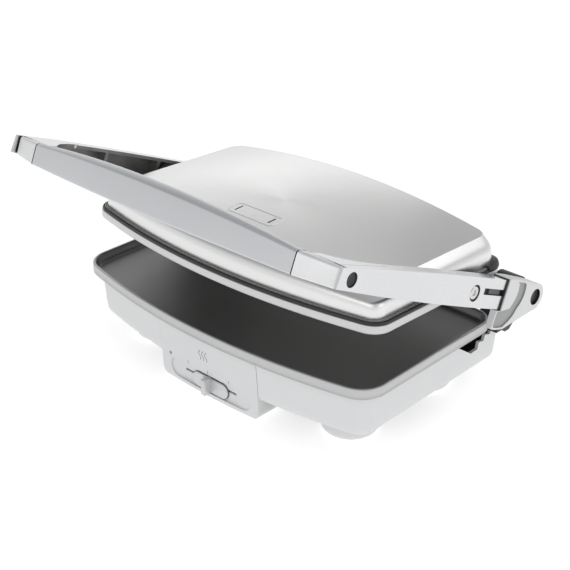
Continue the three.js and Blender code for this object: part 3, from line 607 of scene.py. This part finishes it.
def crown_ring(scale, wall):
    """Ring on the crowned top, the crease drawn in to a scale."""
    points = []
    for p in ring(CREASE, wall, 0, rear=40, side=20):
        x, y = p.x * scale, CROWN_MID + (p.y - CROWN_MID) * scale
        points.append(Vector((x, y, lid_top(x, y) - wall)))
    return points


def lid_bores(radius, near, far, mat):
    """Cutter or boss on each side, about the float pivot."""
    return [disc("bore", LID_PIVOT.y, LID_PIVOT.z, radius, s * near, s * far, LID, [mat]) for s in (1, -1)]


BADGE_SLOTS = (-19.3, 19.3)  # x of the two slots in the plain raised rectangle on the lid


def lid_cover():
    shares = [0, 0.03] + [i / 16 for i in range(1, 16)] + [0.985, 1]
    scales = (0.996, 0.97, 0.92, 0.86, 0.78, 0.7, 0.6, 0.5, 0.4, 0.3, 0.2, 0.12, 0.06)
    outer = [cover_ring(s, 0) for s in shares] + [crown_ring(s, 0) for s in scales]
    inner = [cover_ring(s, COVER_WALL) for s in (1, 0.8, 0.5, 0.25, 0)]
    rings = [crown_ring(s, COVER_WALL) for s in (0.06, 0.3, 0.6, 0.9)] + inner + outer
    obj = loft("lid_shell", rings, LID, ["steel"], sharp=40)
    slots = [slab("slot", x - 0.75, x + 0.75, -146.5, -136.7, 30, 60, LID, ["black"]) for x in BADGE_SLOTS]
    carve(obj, *lid_bores(6.8, 146, 180, "steel"), *slots, sharp=40)
    put(obj, "lid", "lid_cover", slot="brushed_steel")


def lid_badge():
    for i, x in enumerate(BADGE_SLOTS):
        z = lid_top(x, -141) - 1.9
        well = slab(f"badge_slot_{i + 1}", x - 1.4, x + 1.4, -147.4, -135.8, z - 0.8, z, LID, ["black"])
        put(well, "lid", slot="black_plastic")
    x0, x1, y0, y1, r = -25.3, 25.3, -150.4, -133.5, 3
    loop = (arc(x1 - r, y0 + r, r, -math.pi / 2, 0, 6) + arc(x1 - r, y1 - r, r, 0, math.pi / 2, 6)
            + arc(x0 + r, y1 - r, r, math.pi / 2, math.pi, 6)
            + arc(x0 + r, y0 + r, r, math.pi, 1.5 * math.pi, 6))
    dense = []
    for i, p in enumerate(loop):
        q = loop[(i + 1) % len(loop)]
        n = max(1, int(math.dist(p, q) / 1.5))
        dense += [(p[0] + (q[0] - p[0]) * t / n, p[1] + (q[1] - p[1]) * t / n) for t in range(n)]
    bead("badge_edge", dense, 0.34, True)
    bead("badge_divider", [(0.6, -147.5 + 11 * i / 10) for i in range(11)], 0.2, False)


def bead(name, path, r, closed):
    """Half-round raised line pressed into the lid's top, following its crown."""
    n, sides = len(path), 8
    verts, faces = [], []
    for i, (x, y) in enumerate(path):
        a = path[(i - 1) % n] if closed else path[max(0, i - 1)]
        b = path[(i + 1) % n] if closed else path[min(n - 1, i + 1)]
        d = Vector((b[0] - a[0], b[1] - a[1])).normalized()
        s = Vector((-d.y, d.x))
        for k in range(sides):
            t = FULL_TURN * k / sides
            px, py = x + s.x * r * 1.6 * math.cos(t), y + s.y * r * 1.6 * math.cos(t)
            verts.append((px, py, lid_top(px, py) + r * math.sin(t) * 0.7))
    for i in range(n if closed else n - 1):
        for k in range(sides):
            j, m = (i + 1) % n, (k + 1) % sides
            faces.append((i * sides + k, i * sides + m, j * sides + m, j * sides + k))
    if not closed:
        faces += [tuple(range(sides)), tuple(range((n - 1) * sides, n * sides))]
    put(mesh_object(name, verts, faces, LID, ["steel"], sharp=60), "lid", slot="brushed_steel")


def lid_frame():
    prof = [(1.6, 7.5), (0.9, 7.7), (0.7, 8.3), (0.9, 9.1), (1.3, 9.5), (1.8, 9.5), (2.1, 9.0), (2.5, 9.0),
            (2.7, 9.6), (3.1, 9.8), (3.6, 9.8), (3.9, 9.2), (4.3, 9.2), (4.5, 9.8), (5.0, 9.95), (6.2, 9.7),
            (8.8, 9.65), (8.8, 7.5)]
    obj = loft("frame_ring", [ring(LID_PLAN, i, z) for i, z in prof], LID, ["black", "groove"],
               [0] * 9 + [1, 0, 0, 0, 1, 0, 0, 0, 0], closed=True)
    bosses = lid_bores(6.2, 157.2, 178.4, "black")
    bores = lid_bores(4.75, 150, 185, "black")
    carve(obj, *bosses, union=True)
    carve(obj, *bores)
    put(obj, "lid", "lid_frame", slot="black_plastic")


def rear_guard():
    """Raised black lip of the lid frame round its two rear corners."""
    cx, cy = LID_PLAN["hw"] - LID_PLAN["rr"], LID_PLAN["rear"] - LID_PLAN["rr"]
    rings = []
    for k in range(17):
        a = math.radians(-20 + 125 * k / 16)
        rise = 1.3 * math.sin(math.pi * (k + 0.4) / 16.8)
        sec = [(9.4, 9.6), (9.4, 11.2 + rise), (15.6, 11.4 + rise), (17.6, 10.9 + rise), (18.5, 10.1),
               (18.7, 9.2), (18.5, 8.2), (17.8, 7.7), (16.8, 7.6), (16.8, 9.4)]
        rings.append([Vector((cx + math.cos(a) * r, cy + math.sin(a) * r, z)) for r, z in sec])
    obj = loft("rear_guard", rings, LID, ["black"], sharp=50)
    pair(obj, "rear_guard", "lid", None, "black_plastic")


def upper_plate():
    rim = 7.2  # height of the plate's visible edge
    prof = [(12.8, 6.4), (12.2, 12.2), (9.4, 12.2), (9.4, rim), (0.5, rim), (0.12, rim - 0.15),
            (0, rim - 0.5), (0, 1.1), (0.2, 0.5), (0.7, 0.1), (1.4, 0), (2.8, 0.2), (4.4, 1.4),
            (5.6, 2.2), (7, 2.6)]
    slots = [1, 1, 1, 0] + [0] * 6 + [1] * 4
    rings = [ring(LID_PLAN, i, z) for i, z in prof]
    obj = loft("grill_plate", rings, LID, ["lidband", "coat"], slots, sharp=60)
    carve(obj, *lid_bores(6.6, 146, 180, "lidband"), sharp=60)
    put(obj, "lid", "upper_plate", slot="coated_plate")
    for i in range(-9, 10):
        x = i * 15
        pts = [(x - 2.6, 2.9), (x - 1.5, 0.5), (x - 1.1, 0.2), (x + 1.1, 0.2), (x + 1.5, 0.5), (x + 2.6, 2.9)]
        rib = prism(f"rib_{i + 10}", pts, -172, -28, LID, ["coat"], axis="y")
        soften(rib, 0.35, 2, 30)
        put(rib, "lid", slot="coated_plate")


# ------------------------------------------------------------------ arms and handle
def bar_section(front, bottom, face, bevel, depth):
    """Rounded section of the handle bar, from the lower front edge round to the back."""
    top = bottom + face
    crest = top + bevel * 0.75
    back = front + depth
    return [(front + 0.05, bottom + 1.0), (front, bottom + 2.2), (front, top - 1.2),
            (front + 0.12, top - 0.3), (front + 0.7, top + 0.35), (front + bevel, crest - 0.2),
            (front + bevel + 1.2, crest), (back - 2.4, crest), (back - 1.2, crest - 0.3),
            (back - 0.3, crest - 1.2), (back, crest - 2.4), (back, bottom + 2.4), (back - 0.3, bottom + 1.2),
            (back - 1.2, bottom + 0.3), (back - 2.4, bottom), (front + 1.2, bottom),
            (front + 0.35, bottom + 0.35)]


def handle_bar():
    rings = []
    for i in range(81):
        x = BAR_HALF * (i / 40 - 1)
        share = 1 - (x / BAR_HALF) ** 2  # 0 at the ends, 1 in the middle
        front = BAR_FRONT - BAR_BOW * share
        sec = bar_section(front, BAR_BOTTOM, 17 + 6 * share, 2 + 3 * share, BAR_DEPTH)
        rings.append([Vector((x, y, z)) for y, z in sec])
    # Black ends: painted shade in the gap between the bar and its end pieces.
    obj = loft("grip_bar", rings, ARMS, ["bar", "black"], sharp=50, cap=1)
    put(obj, "handle", "handle_bar", slot="satin_aluminium")


def handle_end():
    rings = []
    for t in [0.975 * i / 22 for i in range(23)] + [1.0]:
        x = BAR_HALF + 1.0 + 33.8 * t
        turn = 1.6 * max(0, (t - 0.93) / 0.07) ** 2  # rounds off the tip
        front = BAR_FRONT + 8.8 * t + turn
        depth = BAR_DEPTH - 8.8 * t - turn / 2
        sec = bar_section(front, BAR_BOTTOM + 1.3 * t, 17 - 2 * t, 2 - 0.4 * t, depth)
        rings.append([Vector((x, y, z)) for y, z in sec])
    # The last band and the ends are black: painted shadow of the slit between the end piece and the arm.
    end = loft("grip_end", rings, ARMS, ["end", "black"], [0] * 22 + [1], sharp=50, cap=1)
    pair(end, "grip_end", "handle", "handle_end", "satin_aluminium")


# Upper and lower edges of the arm, as (y, z) in the arms' frame.
ARM_TOP = [(-276, 6.5), (-228, 8.8), (-169, 10.3), (-111, 11.1), (-50.6, 11.3)]
ARM_BOTTOM = [(-277.4, -8.4), (-230, -11), (-156, -13.4), (-96, -14.2), (-50.6, -14)]


def height_at(line, y):
    for (a, za), (b, zb) in zip(line, line[1:]):
        if y <= b:
            return za + (zb - za) * (y - a) / (b - a)
    return line[-1][1]


def smooth_line(line, n=24):
    """Even points along a line, softened through its bends."""
    lo, hi = line[0][0], line[-1][0]
    pts = []
    for i in range(n + 1):
        y = lo + (hi - lo) * i / n
        near = [height_at(line, min(hi, max(lo, y + d))) for d in (-12, -6, 0, 6, 12)]
        pts.append((y, sum(near) / 5))
    return pts


def arm():
    pts = smooth_line(ARM_TOP) + smooth_line(ARM_BOTTOM)[::-1]
    beam = prism("arm", pts, ARM_INNER, ARM_OUTER, ARMS, ["cast", "rough_cast"])
    cuts = [slab("tip", 160, 182.9, -300, -268.8, -30, 30, ARMS, ["cast"])]
    for y0, y1 in ((-226, -184), (-181, -118), (-115, -54)):
        sec = [(y0, height_at(ARM_BOTTOM, y0) + 3), (y1, height_at(ARM_BOTTOM, y1) + 3),
               (y1, height_at(ARM_TOP, y1) - 3), (y0, height_at(ARM_TOP, y0) - 3)]
        cuts.append(prism("pocket", sec, 160, 181.7, ARMS, ["rough_cast"]))
    carve(beam, *cuts)
    plan = [(149.6, 268.8), (176, 268.8), (176, 214), (171, 222)]
    for i in range(1, 13):
        t = i / 12
        plan.append(((1 - t) ** 2 * 171 + 2 * t * (1 - t) * 168 + t * t * 149.6,
                     (1 - t) ** 2 * 222 + 2 * t * (1 - t) * 246 + t * t * 258.8))
    place = ARMS @ Matrix.Translation((0, 0, 15.2))
    gusset = prism("gusset", [(x, -y) for x, y in plan], 0, 4, place, ["cast"], axis="z")
    shear = Matrix.Identity(4)
    shear[2][1] = 0.045  # the gusset falls to the front with the arm's upper edge
    gusset.data.transform(ARMS @ shear @ ARMS.inverted())
    pad = disc("pad", FLOAT_Y, FLOAT_Z, 8.6, 179, 184.2, ARMS, ["rough_cast"])
    tongue = slab("tongue", 175, 182.4, -52, -22, -9, 8, ARMS, ["cast"])
    carve(beam, gusset, pad, tongue, union=True)
    holes = [disc("sink", FLOAT_Y, FLOAT_Z, 7.1, 182.4, 190, ARMS, ["cast"]),
             disc("bore", FLOAT_Y, FLOAT_Z, 3.5, 170, 190, ARMS, ["cast"]),
             disc("plug_hole", PLUG_Y, PLUG_Z, 5.8, 176, 190, ARMS, ["cast"]),
             slab("slot", 181.2, 190, -82.5, -40, -2.7, 2.7, ARMS, ["cast"])]
    carve(beam, *holes)
    soften(beam, 0.55, 3, 40)

    def rough(centre, normal):
        """True for the unpolished faces inside the arm, clear of its upper and lower edges."""
        low, high = height_at(ARM_BOTTOM, centre.y) + 1.6, height_at(ARM_TOP, centre.y) - 1.6
        inside = centre.x < 182 and (normal.x < -0.3 or 170.5 < centre.x)
        return inside and low < centre.z < high and centre.y < -52

    recolour(beam, rough, 1)
    pair(beam, "arm_casting", "handle", "arm", "cast_aluminium")


def small_fittings():
    """Screws and washers of the float pivots, hole plugs and the small sliders in the arms' slots."""
    prof = [(0.01, 182.8), (5.4, 182.8), (5.6, 183.1), (5.6, 184.1), (5.2, 184.6), (4.4, 184.75),
            (2.6, 184.7), (2.4, 184.4), (2.3, 183.7), (0.01, 183.6)]
    across = Matrix.Rotation(math.radians(90), 4, "Y")
    place = ARMS @ Matrix.Translation((0, FLOAT_Y, FLOAT_Z)) @ across
    head = turned("pivot_screw", prof, place, ["plated"], 40)
    shank = disc("shank", FLOAT_Y, FLOAT_Z, 3, 160, 183.4, ARMS, ["plated"])
    carve(head, shank, union=True)
    pair(head, "pivot_screw", "handle", "float_screw", "plated_steel")
    prof = [(5.75, 182.9), (6.95, 182.9), (6.95, 183.8), (6.6, 184.1), (6.0, 184.1), (5.75, 183.8)]
    washer = loft("pivot_washer", spun(prof, 40), place, ["black"], closed=True)
    pair(washer, "pivot_washer", "handle", None, "black_plastic")
    place = ARMS @ Matrix.Translation((0, PLUG_Y, PLUG_Z)) @ across
    prof = [(0.01, 176.6), (5.4, 176.6), (5.4, 183.6), (5.0, 184.0), (3.6, 183.4), (0.01, 183.1)]
    pair(turned("hole_plug", prof, place, ["black"], 40), "hole_plug", "handle", "arm_plug", "black_plastic")
    runner = slab("height_runner", 178.6, 181.3, -76, -55, -5, 5, ARMS, ["dark"])
    tab = slab("tab", 181, 183.6, -72.4, -55, -2.3, 2.3, ARMS, ["dark"])
    carve(runner, tab, union=True)
    soften(runner, 0.3, 2, 40)
    runner.name = "height_runner_r"
    other = mirror(runner, "height_runner_l")
    put(runner, "height_slide_right", "height_slide_right", slot="dark_plastic")
    put(other, "height_slide_left", "height_slide_left", slot="dark_plastic")


ROD_BORE = 5.4  # radius of the holes that the hinge rod runs in


def band_edge(start, n=16):
    """One edge of the bracket's bowed recess, from the top down."""
    return [(start + 6.5 * math.sin(math.pi * i / n) - 4 * i / n, 16 - 32 * i / n) for i in range(n + 1)]


def bracket():
    turns = [math.radians(75 - i * 6.5) for i in range(25)]
    head = [(12 * math.cos(t), 12 * math.sin(t)) for t in turns]
    lobe = [(-38.3, -29.9), (-49.3, -31), (-54.8, -31), (-56.4, -30.4), (-57, -29), (-57.2, -15),
            (-50, -14.8), (-50, 12.6), (-43, 13.1), (-36.6, 13.2)]
    body = prism("bracket", head + lobe, 171.4, 187.3, ARMS, ["housing", "recess_shade"])
    pocket = slab("pocket", 174.6, 182.8, -60, -21.6, -9.4, 8.4, ARMS, ["housing"])
    relief = slab("relief", 160, 181.5, -70, -36, -40, -14.9, ARMS, ["housing"])
    bore = disc("bore", 0, 0, ROD_BORE, 160, 190, ARMS, ["housing"])
    # The well's walls take the black material: painted shade inside the hole round the hinge rod.
    well = disc("well", 0, 0, 7.2, 182.1, 190, ARMS, ["black"])
    face = [(-36.4, 11.2)] + [(y, z) for y, z in band_edge(-36.4) if -14 < z < 11.2]
    face += [(-52, -15.4), (-55.6, -15.6), (-55.6, -27.4), (-54.2, -29.2), (-48, -29.2), (-40, -28.3),
             (-33, -23), (-28, -17.4)]
    face += [(y, z) for y, z in band_edge(-24.6)[::-1] if -13 < z < 11.2] + [(-24.6, 11.2)]
    # The recessed face takes the dark grey: painted shade of the recess.
    recess = prism("recess", face, 186.0, 190, ARMS, ["recess_shade"])
    carve(body, pocket, relief, bore, well, recess)
    soften(body, 0.8, 3, 40)
    pair(body, "hinge_arm", "handle", "hinge_bracket", "housing_plastic")
    # Thin black sheet in the slit between the arm's end and the bracket: painted shadow of the slit.
    bow = [(-50.4 + 1.6 * math.sin(math.pi * i / 12), 12.2 - 27 * i / 12) for i in range(13)]
    slit_shadow = prism("slit_shadow", [(-51.6, 12.2)] + bow + [(-51.6, -14.8)], 171.6, 186.2, ARMS, ["black"])
    pair(slit_shadow, "arm_slit_shadow", "handle", None, "black_plastic")
    # Black disc in the bore: painted shade that makes the hole read dark.
    bore_shade = turned("cap", [(0.01, 182.6), (6.6, 182.6), (6.6, 184.7), (6.2, 185.1), (5.7, 184.8), (5.3, 184.9),
                          (4.8, 185.1), (0.01, 185.2)],
                  ARMS @ Matrix.Rotation(math.radians(90), 4, "Y"), ["black"], 40)
    pair(bore_shade, "bore_shade_disc", "handle", None, "black_plastic")


def hinge_post():
    steps = [(y, z - 0.6) for y, z in NOTCH[1:8]]
    profile = [(-46, 34), (-46, 54)] + steps + [(-2.4, 66), (1, 64), (1, 34)]
    foot = prism("post", profile, 142.6, 155.4, BASE, ["black"])
    profile = [(-7, 57.4), (-7, 71.5), (4, 75), (8.6, 86), (HINGE_Y, 92), (31.8, 86), (31, 80), (21, 68),
               (17.5, 58), (12, 53.6), (6, 53.6), (2, 57.4)]
    trunk = prism("trunk", profile, 149.5, 169.8, BASE, ["black"])
    head = disc("head", HINGE_Y, HINGE_Z, 12.8, 149.5, 169.8, BASE, ["black"], n=64)
    carve(foot, trunk, head, union=True)
    carve(foot, disc("bore", HINGE_Y, HINGE_Z, ROD_BORE, 130, 190, BASE, ["black"]))
    soften(foot, 0.6, 3, 40)
    pair(foot, "hinge_column", "base", "hinge_post", "black_plastic")


# ------------------------------------------------------------------ stage, light, camera
def pale_floor():
    mesh = bpy.data.meshes.new("floor")
    half = 8
    mesh.from_pydata([(-half, -half, 0), (half, -half, 0), (half, half, 0), (-half, half, 0)], [],
                     [(0, 1, 2, 3)])
    floor = bpy.data.objects.new("floor", mesh)
    scene.collection.objects.link(floor)
    mat, _, shader = principled("pale_floor")
    shader.inputs["Base Color"].default_value = (0.7, 0.7, 0.7, 1)
    shader.inputs["Roughness"].default_value = 0.9
    shader.inputs["Specular IOR Level"].default_value = 0.1
    shader.inputs["Emission Color"].default_value = (1, 1, 1, 1)
    shader.inputs["Emission Strength"].default_value = 0.62
    mesh.materials.append(mat)


def sky():
    """Grey surround, brighter below and overhead than at the horizon."""
    world = bpy.data.worlds.new("studio")
    scene.world = world
    world.use_nodes = True
    tree = world.node_tree
    coord = tree.nodes.new("ShaderNodeTexCoord")
    split = tree.nodes.new("ShaderNodeSeparateXYZ")
    ramp = tree.nodes.new("ShaderNodeValToRGB")
    tree.links.new(coord.outputs["Generated"], split.inputs[0])
    tree.links.new(split.outputs["Z"], ramp.inputs[0])
    stops = [(0.0, 0.84), (0.2, 0.86), (0.4, 0.74), (0.5, 0.5), (0.62, 0.3), (0.8, 0.32), (1.0, 0.5)]
    ramp.color_ramp.elements[0].position = stops[0][0]
    ramp.color_ramp.elements[1].position = stops[-1][0]
    for pos, _ in stops[1:-1]:
        ramp.color_ramp.elements.new(pos)
    for element, (pos, level) in zip(ramp.color_ramp.elements, stops):
        element.color = (level, level, level * 1.005, 1)
    back = tree.nodes["Background"]
    tree.links.new(ramp.outputs[0], back.inputs[0])
    back.inputs[1].default_value = 1.0


def softbox(name, place, aim_height, size, watts):
    """Rectangular light at a place, turned to the middle of the press."""
    light = bpy.data.lights.new(name, "AREA")
    light.shape = "RECTANGLE"
    light.size, light.size_y = size
    light.energy = watts
    obj = bpy.data.objects.new(name, light)
    scene.collection.objects.link(obj)
    obj.location = place
    obj.rotation_euler = (Vector((0, 0, aim_height)) - Vector(place)).to_track_quat("-Z", "Y").to_euler()


def studio():
    pale_floor()
    sky()
    softbox("softbox_back", (0.8, 1.8, 2.0), 0.12, (1.7, 1.0), 8.6)
    softbox("softbox_left", (-1.6, 1.5, 0.95), 0.12, (1.5, 0.8), 1.9)
    softbox("softbox_front", (0.4, -2.0, 1.5), 0.1, (1.8, 1.2), 9.0)
    softbox("softbox_right", (2.0, 0.2, 0.9), 0.1, (1.2, 1.0), 4.0)


def camera():
    cam = bpy.data.cameras.new("camera")
    cam.lens, cam.sensor_width = 78.31, 36
    below_level, to_the_right = 27.62, 43.27  # degrees that the camera looks down, and stands to the right
    obj = bpy.data.objects.new("camera", cam)
    scene.collection.objects.link(obj)
    obj.location = (0.66786, (-799.46 + SHIFT) / 1000, 0.58442)
    obj.rotation_euler = (math.radians(90 - below_level), 0, math.radians(to_the_right))
    scene.camera = obj


camera()
dress_cad()
tray_plate()
base_housing()
control_panel()
panel_marks()
slider_knob()
feet()
lid_cover()
lid_badge()
lid_frame()
rear_guard()
upper_plate()
handle_bar()
handle_end()
arm()
small_fittings()
bracket()
hinge_post()
studio()
scene.view_settings.view_transform = "Standard"
